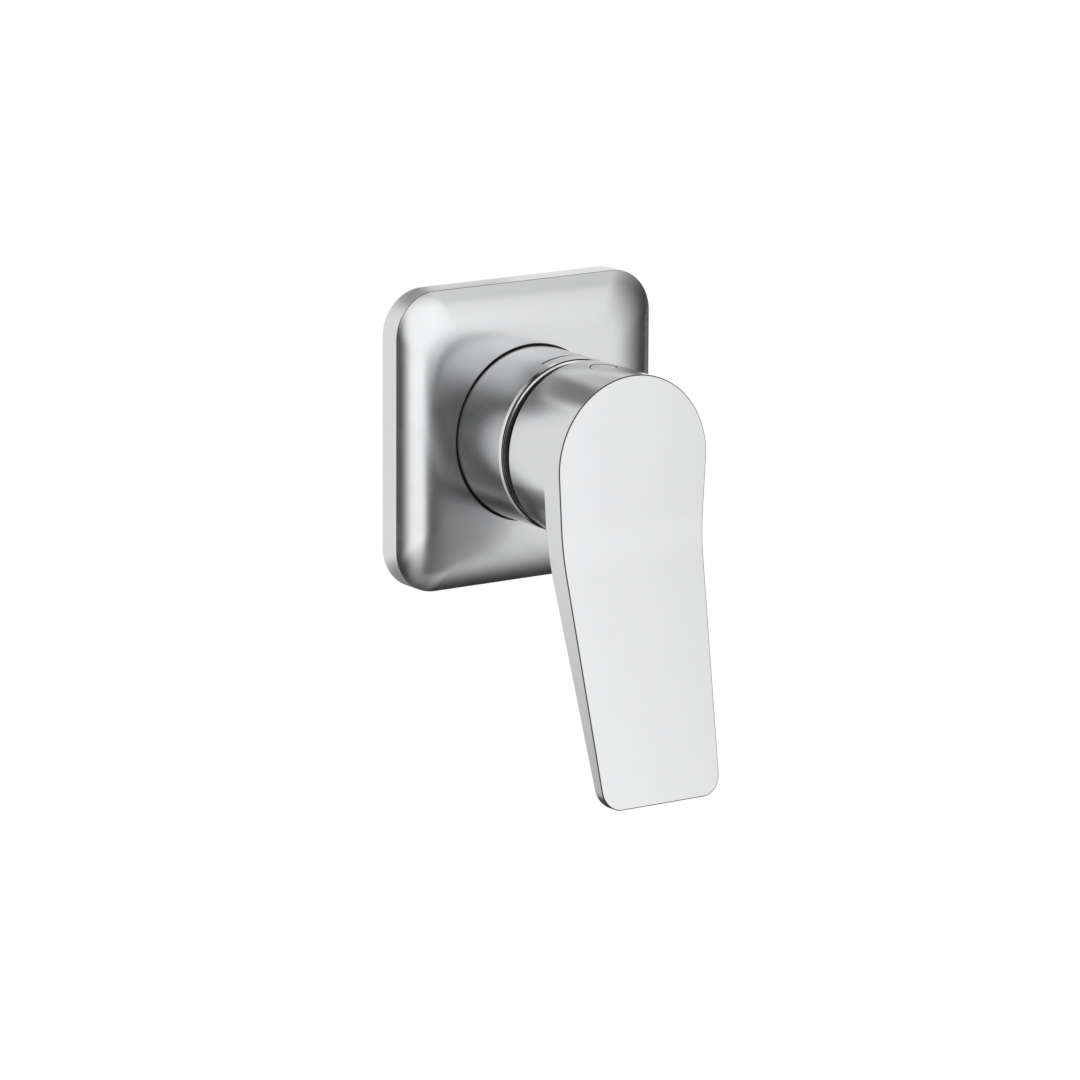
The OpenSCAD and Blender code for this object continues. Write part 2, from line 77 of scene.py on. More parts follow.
# helpers for materials
class Nodes:
    """Short way to build a node tree. The inputs that add takes are values or links."""

    def __init__(self, tree):
        self.tree = tree
        tree.nodes.clear()

    def add(self, kind, inputs=None, **settings):
        node = self.tree.nodes.new("ShaderNode" + kind)
        for key, value in settings.items():
            setattr(node, key, value)
        for key, value in (inputs or {}).items():
            if isinstance(value, bpy.types.NodeSocket):
                self.tree.links.new(value, node.inputs[key])
            else:
                node.inputs[key].default_value = value
        return node

    def maths(self, operation, a, b=None, clamp=False):
        values = {0: a}
        if b is not None:
            values[1] = b
        return self.add("Math", values, operation=operation, use_clamp=clamp).outputs[0]

    def noise(self, vector, scale, detail=2.0):
        inputs = {"Vector": vector, "Scale": scale, "Detail": detail}
        return self.add("TexNoise", inputs).outputs["Fac"]

    def product(self, *factors):
        result = factors[0]
        for factor in factors[1:]:
            result = self.maths("MULTIPLY", result, factor)
        return result

    def glow(self, strength):
        """White light of its own."""
        return self.add("Emission", {"Color": (1, 1, 1, 1), "Strength": strength}).outputs[0]

    def length(self, a, b):
        return self.maths("SQRT", self.maths("ADD", self.product(a, a), self.product(b, b)))

    def soft(self, value, low, high):
        """0 at low, 1 at high, with a soft change between."""
        return self.add("MapRange", {"Value": value, "From Min": low, "From Max": high},
                        interpolation_type="SMOOTHSTEP").outputs["Result"]

    def curve(self, degrees, stops):
        """Straight runs between (degrees, result) stops. The results go up to 2 and a ramp holds
        no more than 1, so it holds half of them."""
        low, high = -100, 100
        node = self.add("ValToRGB", {"Fac": self.span(degrees, low, high, 0.0, 1.0)})
        elements = node.color_ramp.elements
        while len(elements) < len(stops):
            elements.new(1.0)
        for element, (at, result) in zip(elements, stops):
            element.position = (at - low) / (high - low)
            element.color = (result / 2, result / 2, result / 2, 1)
        return self.maths("MULTIPLY", node.outputs["Color"], 2.0)

    def span(self, value, low, high, to_low, to_high):
        return self.add("MapRange", {"Value": value, "From Min": low, "From Max": high,
                                     "To Min": to_low, "To Max": to_high}).outputs["Result"]


def new_material(name):
    material = bpy.data.materials.new(name)
    material.use_nodes = True
    return material, Nodes(material.node_tree)


def finish_material(n, shader):
    n.add("OutputMaterial", {"Surface": shader})


SATIN_START, SATIN_FULL = 0.037, 0.027   # distance from the handle's axis


def surface(name, colour, darker, roughness, metallic=0.0, grain=900.0, bump=0.02, spread=0.05,
            distance=0.0004, satin=0.0):
    """A procedural finish: colour between two shades, uneven roughness and fine bump. Satin is
    added to the roughness towards the handle's axis."""
    material, n = new_material(name)
    place = n.add("TexCoord").outputs["Object"]
    wide = n.noise(place, grain * 0.08, 3.0)
    fine = n.noise(place, grain)
    rough = n.span(n.noise(place, grain * 0.3, 3.0), 0.3, 0.7, roughness - spread,
                   roughness + spread)
    if satin:
        x, _, z = n.add("SeparateXYZ", {0: place}).outputs
        more = n.product(satin, n.soft(n.length(x, z), SATIN_START, SATIN_FULL))
        rough = n.maths("ADD", rough, more)
    tint = n.add("Mix", {"Factor": wide, 6: (*darker, 1), 7: (*colour, 1)}, data_type="RGBA")
    relief = n.add("Bump", {"Height": fine, "Strength": bump, "Distance": distance})
    finish_material(n, n.add("BsdfPrincipled", {
        "Base Color": tint.outputs[2], "Metallic": metallic, "Roughness": rough,
        "Normal": relief.outputs["Normal"]}).outputs["BSDF"])
    return material


POLISHED = {"grain": 500.0, "bump": 0.015, "spread": 0.02, "distance": 0.0001}
UNPOLISHED = {"bump": 0.08, "distance": 0.0002}
CHROME = (0.735, 0.74, 0.745), (0.715, 0.72, 0.73)
chrome = surface("chrome_polished", *CHROME, 0.17, 1.0, **POLISHED)
# painted shade: darker chrome for the thin dark line along the handle's front edge and the plate's
# rim
chrome_edge_shade = surface("chrome_edge_shade", (0.16, 0.162, 0.165), (0.12, 0.122, 0.125), 0.3, 1.0,
                      **POLISHED)
# painted shade: darker chrome in hollows, holes and on faces turned to the wall
chrome_inside_shade = surface("chrome_inside_shade", (0.2, 0.205, 0.21), (0.15, 0.155, 0.16), 0.42, 1.0,
                        **UNPOLISHED)
chrome_shadow = surface("chrome_shadow", (0.05, 0.052, 0.055), (0.035, 0.036, 0.038), 0.45, 1.0,
                        **UNPOLISHED)
index_grey = surface("index_grey", (0.035, 0.035, 0.037), (0.025, 0.025, 0.027), 0.6)
index_pale = surface("index_pale", (0.42, 0.42, 0.43), (0.38, 0.38, 0.39), 0.5)
plate_chrome = surface("chrome_soft", *CHROME, 0.23, 1.0, satin=0.02, **POLISHED)
# painted highlight: a brighter copy of chrome for the bright lines at the sleeve's mouth and on
# the ring's bead
highlight_chrome = surface("chrome_painted_highlight", (0.96, 0.965, 0.97), (0.94, 0.945, 0.95), 0.12, 1.0,
                        grain=500.0, bump=0.01, spread=0.01, distance=0.0001)
cast_brass = surface("cast_brass", (0.7, 0.52, 0.24), (0.58, 0.41, 0.17), 0.38, 1.0,
                     grain=1500.0, bump=0.25, spread=0.06, distance=0.0003)
turned_brass = surface("turned_brass", (0.8, 0.62, 0.31), (0.74, 0.55, 0.26), 0.24, 1.0,
                       grain=1800.0, bump=0.05)
steel = surface("steel", (0.58, 0.58, 0.59), (0.5, 0.5, 0.52), 0.28, 1.0, grain=1600.0)
rubber = surface("rubber", (0.028, 0.028, 0.03), (0.018, 0.018, 0.02), 0.6, grain=1400.0, bump=0.1)
foam = surface("foam", (0.075, 0.075, 0.08), (0.04, 0.04, 0.045), 0.92, grain=2600.0, bump=0.6)
ceramic = surface("ceramic", (0.86, 0.85, 0.82), (0.82, 0.81, 0.78), 0.2)
plastic_white = surface("plastic_white", (0.82, 0.81, 0.77), (0.78, 0.77, 0.73), 0.42)
plastic_black = surface("plastic_black", (0.03, 0.03, 0.032), (0.02, 0.02, 0.022), 0.45)
plastic_blue = surface("plastic_blue", (0.05, 0.13, 0.42), (0.04, 0.1, 0.34), 0.42)
plastic_red = surface("plastic_red", (0.62, 0.05, 0.035), (0.5, 0.035, 0.025), 0.42)

for material, names in (
        (chrome, "cover_plate sleeve handle screw_cover"),
        (highlight_chrome, "cap_ring"),
        (foam, "plate_gasket"),
        (rubber, "plate_seal sleeve_seals turret_seal base_seals plug_seal"),
        (steel, "set_screw spindle pivot_pin"),
        (plastic_black, "handle_adapter"),
        (plastic_red, "limit_ring"),
        (plastic_blue, "cartridge_base"),
        (plastic_white, "turret disc_carrier cartridge_housing slip_ring"),
        (ceramic, "moving_disc fixed_disc"),
        (turned_brass, "cartridge_nut outlet_plug"),
        (cast_brass, "valve_body")):
    for name in names.split():
        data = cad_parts[name].data
        data.materials.clear()
        data.materials.append(material)


# helpers for the pieces
MM = 0.001
STEPS = 144                      # points round the cap, the sleeve and the ring in its mouth
TURN = 360 / STEPS


class Solid:
    """Collects points, given in millimetres as right, up and out of the wall, and faces, each
    with the number of its finish."""

    def __init__(self):
        self.points, self.faces, self.finish = [], [], []
        self.paint = 0

    def face(self, *corners):
        self.faces.append(corners)
        self.finish.append(self.paint)

    def ring(self, points):
        start = len(self.points)
        self.points.extend((x * MM, -out * MM, up * MM) for x, up, out in points)
        return list(range(start, len(self.points)))

    def bridge(self, first, second, closed=True):
        count = len(first)
        for i in range(count if closed else count - 1):
            j = (i + 1) % count
            self.face(first[i], first[j], second[j], second[i])

    def loft(self, rings, closed=False):
        """Joins each ring with the next. Closed, the last is joined with the first, and
        otherwise both are filled."""
        for i in range(len(rings) if closed else len(rings) - 1):
            self.bridge(rings[i], rings[(i + 1) % len(rings)])
        if not closed:
            self.face(*rings[0])
            self.face(*rings[-1])

    def mesh(self, name):
        mesh = bpy.data.meshes.new(name)
        mesh.from_pydata(self.points, [], self.faces)
        for face, paint in zip(mesh.polygons, self.finish):
            face.material_index = paint
        bm = bmesh.new()
        bm.from_mesh(mesh)
        bmesh.ops.remove_doubles(bm, verts=bm.verts, dist=1e-7)
        bmesh.ops.dissolve_degenerate(bm, dist=1e-7, edges=bm.edges)
        bmesh.ops.recalc_face_normals(bm, faces=bm.faces)
        for face in bm.faces:
            face.smooth = True
        bm.to_mesh(mesh)
        bm.free()
        return mesh


def polar(radius, angle):
    return radius * math.cos(angle), radius * math.sin(angle)


def evaluated(obj):
    """The object's mesh with its modifiers applied, as a new mesh. Clears the modifiers."""
    graph = bpy.context.evaluated_depsgraph_get()
    mesh = bpy.data.meshes.new_from_object(obj.evaluated_get(graph))
    obj.modifiers.clear()
    return mesh


def combine(obj, *others, operation="DIFFERENCE", solver="MANIFOLD"):
    """Cuts the others out of the object, adds them or keeps the overlap, and removes them."""
    for other in others:
        modifier = obj.modifiers.new("combine", "BOOLEAN")
        modifier.operation = operation
        modifier.solver = solver
        modifier.object = other
    obj.data = evaluated(obj)
    for other in others:
        bpy.data.objects.remove(other)


def shade(obj, angle=30, round_part=None):
    """Smooth shading that breaks at edges over the angle and keeps flat faces flat. Corners for
    which round_part gives a direction take that as their normal."""
    obj.data.set_sharp_from_angle(angle=math.radians(angle))
    modifier = obj.modifiers.new("normals", "WEIGHTED_NORMAL")
    modifier.keep_sharp = True
    mesh = evaluated(obj)
    obj.data = mesh
    if round_part is None:
        return
    normals = [tuple(n.vector) for n in mesh.corner_normals]
    for face in mesh.polygons:
        for corner in face.loop_indices:
            place = mesh.vertices[mesh.loops[corner].vertex_index].co
            better = round_part(face, place)
            if better is not None:
                normals[corner] = tuple(better)
    mesh.normals_split_custom_set(normals)


def finish_faces(mesh, rule):
    """Gives each face the finish that rule names from its distance to the handle's axis, its
    distance out of the wall and how far it faces out of the wall."""
    for face in mesh.polygons:
        centre = face.center
        index = rule(math.hypot(centre.x, centre.z) / MM, -centre.y / MM, -face.normal.y)
        if index is not None:
            face.material_index = index
    return mesh


def piece(name, mesh, finishes, body, slot, *nodes):
    for material in finishes if isinstance(finishes, tuple) else (finishes,):
        mesh.materials.append(material)
    obj = add_object(name, mesh)
    if nodes:
        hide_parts(*nodes)
    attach(obj, body)
    return obj


def rounded(corners, steps=4):
    """Closed section of straight runs from (place, out, radius) corners, each rounded off."""
    section = []
    count = len(corners)
    for i, (x, y, radius) in enumerate(corners):
        here = Vector((x, y))
        if not radius:
            section.append((x, y))
            continue
        before = (Vector(corners[i - 1][:2]) - here).normalized()
        after = (Vector(corners[(i + 1) % count][:2]) - here).normalized()
        half = before.angle(after) / 2
        reach = radius / math.tan(half)
        centre = here + (before + after).normalized() * (radius / math.sin(half))
        start = here + before * reach - centre
        turn = math.pi - 2 * half
        sign = 1 if before.x * after.y - before.y * after.x < 0 else -1
        for k in range(steps + 1):
            angle = sign * turn * k / steps
            section.append((centre.x + start.x * math.cos(angle) - start.y * math.sin(angle),
                            centre.y + start.x * math.sin(angle) + start.y * math.cos(angle)))
    return section


def turned(name, section, groove=None, extra=()):
    """Turns a closed section round the handle's axis. Sections are (radius, out, grooved), and
    groove gives the depth of a grooved point by its direction. Extra are more directions."""
    solid = Solid()
    rings = []
    round_all = sorted({(90 - TURN * i) % 360 for i in range(STEPS)} | set(extra), reverse=True)
    for radius, out, *grooved in section:
        points = []
        for degrees in round_all:
            r = radius - (groove(degrees) if grooved else 0)
            points.append((*polar(r, math.radians(degrees)), out))
        rings.append(solid.ring(points))
    solid.loft(rings, closed=True)
    return solid.mesh(name)


RIGHT, UP, OUT = Vector((1, 0, 0)), Vector((0, 1, 0)), Vector((0, 0, 1))


def spun(name, section, start, along, sides=96, turn=0.0, paint=0, closed=False):
    """A solid turned about the line that leaves start along a direction, from (radius, distance)
    pairs. With closed the section is a loop and the solid a ring, otherwise its ends are flat.
    With 6 sides it is a hexagonal bar, whose radius is that of its corners."""
    solid = Solid()
    solid.paint = paint
    start = Vector(start)
    first = OUT if abs(along.z) < 0.5 else UP
    second = along.cross(first)
    angles = [math.radians(turn) + 2 * math.pi * i / sides for i in range(sides)]
    ways = [first * math.cos(a) + second * math.sin(a) for a in angles]
    solid.loft([solid.ring([start + along * at + way * radius for way in ways])
                for radius, at in section], closed)
    return solid.mesh(name)


def tool(mesh):
    """An object for a mesh that others are joined with or cut by."""
    return add_object("tool", mesh)


# handle: cap and bent lever
CAP_R, CAP_BORE, CAP_BACK, CAP_FRONT, CAP_FLOOR = 23.1, 21.3, 33.8, 56.9, 52.5
LEVER_BACK, DROP, TIP_HALF, TIP_CORNER, BEND, BEND_R = 49.6, 87.2, 18.15, 5.6, -21.0, 58.0
FRONT_SLOPE, BACK_SLOPE = math.radians(12.55), math.radians(16.0)
BOSS_R, BOSS_BACK, HOLE_FLOOR, SPLINE_ROOT, SPLINE_TOP = 9.0, 37.0, 47.8, 6.35, 6.85
SCREW_AT, SCREW_R, COVER_HOLE_R = 43.2, 2.5, 3.65
SKIRT_ROUND, HOLLOW_ROUND, BOSS_ROUND = 0.22, 0.6, 0.3
EDGE, EDGE_STEPS = 0.28, 4       # round along the edges of the casting
SPLIT = STEPS // 4 + 1           # the row where the sides leave the cap's circle
SIDE_STEPS, TIP_STEPS = 60, 14
SPLINE_TEETH = 16
# points of one tooth as (degrees from its middle, whether the hole is wide there)
TOOTH = [(-11.25, 0), (-8.3, 0), (-5.42, 0), (-5.02, 1), (-1.7, 1), (1.7, 1), (5.02, 1),
         (5.42, 0), (8.3, 0)]
PLAIN, EDGE_SHADE, INSIDE_SHADE, SHADOWED = range(4)   # the handle's finishes: plain, and painted shade on the front edge, inside and on the skirt's end
# lean of the lever's sides, which are tangents of the cap's circle
SIDE = math.atan2(DROP, TIP_HALF) - math.acos(CAP_R / math.hypot(TIP_HALF, DROP))


def bent(up, flat_at, slope):
    """Distance out of the wall of a face that bends outward on its way down to the tip."""
    leg = BEND_R * math.tan(slope / 2)
    below = BEND + leg - up
    if below <= 0:
        return flat_at
    if below <= BEND_R * math.sin(slope):
        return flat_at + BEND_R - math.sqrt(BEND_R ** 2 - below ** 2)
    return flat_at + (BEND - up) * math.tan(slope)


def front(up):
    return bent(up, CAP_FRONT, FRONT_SLOPE)


def behind(up):
    return bent(up, LEVER_BACK, BACK_SLOPE)


def lever_rows():
    """The right side of the outline from top to tip: (x, up, normal x, normal up, angle of the
    point on the cap's circle at the same row, or None below the cap)."""
    def on_side(up, angle=None):
        return ((CAP_R + up * math.sin(SIDE)) / math.cos(SIDE), up,
                math.cos(SIDE), -math.sin(SIDE), angle)

    rows = []
    half = STEPS // 2
    for i in range(half + 1):
        angle = math.radians(90 - TURN * i)
        if i == SPLIT:
            angle = -SIDE
        if i <= SPLIT:
            rows.append((*polar(CAP_R, angle), *polar(1, angle), angle))
        else:
            rows.append(on_side(CAP_R * math.sin(angle), angle))
    corner_up = TIP_CORNER - DROP
    corner_x = (CAP_R - TIP_CORNER + corner_up * math.sin(SIDE)) / math.cos(SIDE)
    end = corner_up - TIP_CORNER * math.sin(SIDE)
    for i in range(1, SIDE_STEPS + 1):
        rows.append(on_side(-CAP_R + (end + CAP_R) * i / SIDE_STEPS))
    for i in range(1, TIP_STEPS + 1):
        angle = -SIDE - (math.pi / 2 - SIDE) * i / TIP_STEPS
        nx, nup = polar(1, angle)
        rows.append((corner_x + TIP_CORNER * nx, corner_up + TIP_CORNER * nup, nx, nup, None))
    return rows


def both_sides(right):
    """A closed loop from its right half, top to bottom."""
    return right + [(-x, up, out) for x, up, out in reversed(right)]


def handle_mesh():
    solid = Solid()
    rows = lever_rows()
    count = len(rows)
    low = STEPS // 2                 # the row at the circle's lowest point

    def inset(row, distance):
        x, up, nx, nup, _ = row
        return max(x - distance * nx, 0.0), up - distance * nup

    # front face, its rounded edge in painted shade, and the top of the side wall
    previous = None
    for k in range(EDGE_STEPS + 1):
        angle = math.pi / 2 * k / EDGE_STEPS
        distance, drop = EDGE * (1 - math.cos(angle)), EDGE * (1 - math.sin(angle))
        right = [(x, up, front(up) - drop) for x, up in (inset(row, distance) for row in rows)]
        right.append((0.0, *right[-1][1:]))
        ring = solid.ring(both_sides(right))
        if previous:
            solid.bridge(previous, ring)
        else:
            wall_top = ring
        previous = ring
        solid.paint = EDGE_SHADE
    solid.paint = PLAIN
    middle = solid.ring([(0.0, up, out) for _, up, out in right[:count]])
    last = len(previous) - 1
    for i in range(count - 1):
        for a, b in (i, i + 1), (last - i, last - i - 1):
            solid.face(previous[a], previous[b], middle[i + 1], middle[i])

    # lever's back: rounded edge from the side wall to the back face, below the split
    previous = None
    for k in range(EDGE_STEPS + 1):
        angle = math.pi / 2 * k / EDGE_STEPS
        right = []
        for i, row in enumerate(rows):
            if i <= SPLIT:
                right.append((row[0], row[1], LEVER_BACK))
                continue
            radius = EDGE
            if row[4] is not None:
                radius = min(EDGE, (row[0] - CAP_R * math.cos(row[4])) / 3)
            x, up = inset(row, radius * (1 - math.cos(angle)))
            right.append((x, up, behind(up) + radius * (1 - math.sin(angle))))
        right.append((0.0, *right[-1][1:]))
        ring = solid.ring(both_sides(right))
        if previous:
            for i in range(SPLIT, len(ring) - SPLIT - 1):
                solid.face(previous[i], previous[i + 1], ring[i + 1], ring[i])
        else:
            solid.bridge(wall_top, ring)
        previous = ring

    # circle of the cap behind the lever, and the back face out to the rounded edge
    circle = [math.radians(90)] + [row[4] for row in rows[1:low + 1]]
    right = [(x, up, behind(up)) for x, up in (polar(CAP_R, a) for a in circle)]
    right[-1] = (0.0, -CAP_R, behind(-CAP_R))
    top = solid.ring(right)
    top_left = solid.ring([(-x, up, out) for x, up, out in right])
    for i in range(SPLIT, low):
        solid.face(previous[i], previous[i + 1], top[i + 1], top[i])
        solid.face(previous[last - i], previous[last - i - 1], top_left[i + 1], top_left[i])
    heights = [solid.points[previous[i]] for i in range(low, count)]
    middle = [top[low]] + solid.ring([(0.0, z / MM, behind(z / MM)) for _, _, z in heights[1:]])
    for i in range(low, count - 1):
        j = i - low
        solid.face(previous[i], previous[i + 1], middle[j + 1], middle[j])
        solid.face(previous[last - i], previous[last - i - 1], middle[j + 1], middle[j])

    # cap's wall behind the lever, the skirt's end, the hollow, the boss and its splined hole
    round_all = circle + [math.pi - a for a in reversed(circle[1:-1])]
    section = rounded([
        (CAP_R, CAP_FRONT, 0), (CAP_R, CAP_BACK, SKIRT_ROUND), (CAP_BORE, CAP_BACK, SKIRT_ROUND),
        (CAP_BORE, CAP_FLOOR, HOLLOW_ROUND), (BOSS_R, CAP_FLOOR, HOLLOW_ROUND),
        (BOSS_R, BOSS_BACK, BOSS_ROUND), (SPLINE_TOP, BOSS_BACK, 0)])[1:-1]
    rings = [top + list(reversed(top_left[1:-1]))]
    rings += [solid.ring([(*polar(radius, a), out) for a in round_all]) for radius, out in section]
    spline = []
    for tooth in range(SPLINE_TEETH):
        for degrees, wide in TOOTH:
            radius = SPLINE_TOP if wide else SPLINE_ROOT
            angle = math.radians(90 - 360 / SPLINE_TEETH * tooth - degrees)
            spline.append(polar(radius, angle))
    start = len(TOOTH) // 2          # it starts in the middle of the first tooth
    spline = spline[start:] + spline[:start]
    rings += [solid.ring([(x, up, out) for x, up in spline]) for out in (BOSS_BACK, HOLE_FLOOR)]
    for first, second in zip(rings, rings[1:]):
        solid.bridge(first, second)
    solid.face(*rings[-1])
    return solid.mesh("handle_skin")


def rod_up(radius, low, high):
    """A cutter about the set screw's axis."""
    return tool(spun("hole", [(radius, low), (radius, high)], (0, 0, SCREW_AT), UP, 64))


def on_cap(face, place):
    """The cap's true normal, on its round wall."""
    radius = math.hypot(place.x, place.z) / MM
    if abs(radius - CAP_R) > 0.05 or abs(face.normal.y) > 0.02:
        return None
    if place.z < -CAP_R * math.sin(SIDE) * MM and place.y < -LEVER_BACK * MM:
        return None
    outward = Vector((place.x, 0, place.z)).normalized()
    return outward if outward.dot(face.normal) > 0.9 else None


def handle_finish(r, out, facing):
    """Painted shade: darkest on the skirt's end, darker in the hollow and on its floor."""
    if r > CAP_R - 0.24 and out < CAP_BACK + 0.21:
        return SHADOWED
    if r < CAP_R - 0.25 and out < LEVER_BACK - 0.1 and (r < CAP_BORE + 0.1 or out < 35):
        return INSIDE_SHADE
    if r < CAP_BORE and CAP_FLOOR - 0.7 < out < CAP_FLOOR + 0.1 and facing < -0.9:
        return INSIDE_SHADE
    return None


handle = piece("handle_skin", finish_faces(handle_mesh(), handle_finish),
               (chrome, chrome_edge_shade, chrome_inside_shade, chrome_shadow), "lever", "chrome", "handle")
combine(handle, rod_up(COVER_HOLE_R, BOSS_R + 1, CAP_R + 1), rod_up(SCREW_R, 0, BOSS_R + 1),
        solver="EXACT")
for face in handle.data.polygons:    # painted shade on the wall of the cover's seat
    x, out, up = face.center.x / MM, -face.center.y / MM, face.center.z / MM
    beside = math.hypot(x, out - SCREW_AT) < COVER_HOLE_R + 0.05
    if abs(face.normal.z) < 0.5 and up > BOSS_R and beside:
        face.material_index = SHADOWED
shade(handle, 30, on_cap)


# screw cover: a small dished cap, whose top follows the handle's round wall
COVER_R, COVER_FLOOR, COVER_CHAMFER, COVER_SIDES = 3.42, CAP_R - 2.4, 0.2, 64
# its top from rim to middle, as (radius, depth below the handle's wall)
COVER_TOP = [(COVER_R, 0.2), (3.34, 0.08), (3.22, 0.04), (2.9, 0.04), (2.8, 0.08), (2.7, 0.12),
             (1.8, 0.12), (0.9, 0.12)]


def screw_cover():
    solid = Solid()

    def ring(radius, height):
        circle = [polar(radius, 2 * math.pi * i / COVER_SIDES) for i in range(COVER_SIDES)]
        return solid.ring([(x, height(x), SCREW_AT + out) for x, out in circle])

    rings = [ring(COVER_R - COVER_CHAMFER, lambda x: COVER_FLOOR),
             ring(COVER_R, lambda x: COVER_FLOOR + COVER_CHAMFER)]
    for radius, depth in COVER_TOP:
        rings.append(ring(radius, lambda x: math.sqrt(CAP_R ** 2 - x ** 2) - depth))
    solid.loft(rings)
    return solid.mesh("screw_cover_skin")


shade(piece("screw_cover_skin", screw_cover(), chrome, "lever", "chrome", "screw_cover"), 40)


# set screw: chamfered ends and a hexagon socket
def hexagon(flats, low, high, start, along):
    """A hexagonal bar by the distance across its flats."""
    corner = flats / 2 / math.cos(math.radians(30))
    return spun("hexagon", [(corner, low), (corner, high)], start, along, 6, 30)


SCREW_LOW, SCREW_TOP, SCREW_POINT = 4.0, 10.5, 1.3
SOCKET_FLATS, SOCKET_FLOOR = 2.5, 7.5
screw = piece("set_screw_skin", spun("set_screw_skin", [
    (SCREW_POINT, SCREW_LOW), (SCREW_R - 0.45, SCREW_LOW + 0.5), (SCREW_R, SCREW_LOW + 0.9),
    (SCREW_R, SCREW_TOP - 0.4), (SCREW_R - 0.3, SCREW_TOP)], (0, 0, SCREW_AT), UP, 64),
    steel, "lever", "steel", "set_screw")
combine(screw, tool(hexagon(SOCKET_FLATS, SOCKET_FLOOR, 12, (0, 0, SCREW_AT), UP)),
        solver="EXACT")
shade(screw, 20)


# sleeve with its index line, and the ring in its mouth, whose bead takes a painted highlight
SLEEVE_R, SLEEVE_BORE, SLEEVE_BACK, SLEEVE_FRONT = 23.2, 22.0, -6.0, 29.9
INDEX_AT, INDEX_HALF, INDEX_DEPTH, INDEX_ANGLE = 26.5, 0.42, 0.3, 20.0
MOUTH_LONG, MOUTH_WIDE = 0.54, 0.44     # chamfer at the sleeve's mouth, which takes a painted highlight
THIN = 0.02      # width of the groove's walls, and how far its paint stays below the rim


def index_groove(degrees):
    return INDEX_DEPTH if abs(degrees - 90) < INDEX_ANGLE else 0.0


def grooved(section):
    """Puts the two walls of the index groove into the sleeve's outer wall."""
    at = max(i for i, (radius, out) in enumerate(section)
             if out < 0 and radius > SLEEVE_R - 0.1)
    low, high = INDEX_AT - INDEX_HALF, INDEX_AT + INDEX_HALF
    walls = [(SLEEVE_R, low), (SLEEVE_R, low + THIN, True), (SLEEVE_R, high - THIN, True),
             (SLEEVE_R, high)]
    return section[:at + 1] + walls + section[at + 1:]


def sleeve_mesh():
    section = rounded([
        (SLEEVE_BORE, SLEEVE_BACK, 0.1), (SLEEVE_R, SLEEVE_BACK, 0.3),
        (SLEEVE_R, SLEEVE_FRONT - MOUTH_LONG, 0.04), (SLEEVE_R - MOUTH_WIDE, SLEEVE_FRONT, 0.04),
        (SLEEVE_BORE, SLEEVE_FRONT, 0.1)], 3)
    ends = [90 + sign * (INDEX_ANGLE + side) for sign in (-1, 1) for side in (THIN, -THIN)]
    return turned("sleeve_skin", grooved(section), index_groove, ends)


def sleeve_finish(r, out, facing):
    """Painted shade inside and at the back, a painted highlight on the mouth's chamfer, and plain
    outside.
    """
    if r < SLEEVE_R - 0.42 or out < SLEEVE_BACK + 0.2:
        return 1
    return 2 if out > SLEEVE_FRONT - 0.52 else 0


shade(piece("sleeve_skin", finish_faces(sleeve_mesh(), sleeve_finish),
            (chrome, chrome_shadow, highlight_chrome), "fixed", "chrome", "sleeve"), 50)


def index_paint(name, way, steps=30):
    """Paint in one half of the index groove: way is 1 for its left half and -1 for its right."""
    solid = Solid()
    angles = [math.radians(90 + way * (INDEX_ANGLE - 0.1) * i / steps) for i in range(steps + 1)]
    rings = [solid.ring([(*polar(SLEEVE_R - depth, a), INDEX_AT + side * (INDEX_HALF - THIN))
                         for a in angles])
             for depth, side in ((INDEX_DEPTH, -1), (INDEX_DEPTH, 1), (THIN, 1), (THIN, -1))]
    for i in range(4):
        solid.bridge(rings[i], rings[(i + 1) % 4], closed=False)
    for end in 0, -1:
        solid.face(*[ring[end] for ring in rings])
    return solid.mesh(name)


for name, way, paint in (("index_paint_left", 1, index_grey),
                         ("index_paint_right", -1, index_pale)):
    shade(piece(name, index_paint(name, way), paint, "fixed", "chrome"), 40)

RING_BORE, RING_R, RING_NOSE, RING_BACK, RING_FRONT = 19.05, 21.95, 21.9, 22.2, 31.2
RING_CHAMFER = 0.4
BEAD_R, BEAD_BACK, BEAD_FRONT = 22.46, 29.92, 30.34     # it lies over the sleeve's mouth


def ring_mesh():
    return turned("ring_skin", rounded([
        (RING_BORE, RING_BACK, 0.1), (RING_R, RING_BACK, 0.1), (RING_R, BEAD_BACK, 0),
        (BEAD_R, BEAD_BACK, 0.03), (BEAD_R, 30.05, 0.05), (22.0, BEAD_FRONT, 0.08),
        (RING_NOSE, BEAD_FRONT, 0), (RING_NOSE, RING_FRONT - RING_CHAMFER, 0.2),
        (RING_NOSE - RING_CHAMFER, RING_FRONT, 0.15),
        (RING_BORE + RING_CHAMFER, RING_FRONT, 0.15),
        (RING_BORE, RING_FRONT - RING_CHAMFER, 0.2)], 3))


def ring_finish(r, out, facing):
    """A painted highlight on the bead's front, and painted shade elsewhere."""
    return 0 if r > 21.96 and out > 30.02 else 1


shade(piece("ring_skin", finish_faces(ring_mesh(), ring_finish), (highlight_chrome, chrome_shadow),
            "fixed", "chrome", "cap_ring"), 50)


# cover plate
PLATE_HALF, PLATE_CORNER, PLATE_FRONT, PLATE_WALL = 40.0, 12.0, 10.0, 2.2
RIM, ROLL_WIDTH = 6.7, 10.5      # height of the rim, and how far in the roll behind it reaches
QUARTER = 24                     # steps along each side and round each corner
HOLE_R, LIP, LIP_BACK = 23.5, 0.16, 8.3
COLLAR_R, COLLAR_BACK, GROOVE_R, GROOVE_BACK, GROOVE_FRONT = 25.7, 1.5, 25.0, 3.6, 5.4
SOFTER = 0.45                    # how fast the corners close in on the front


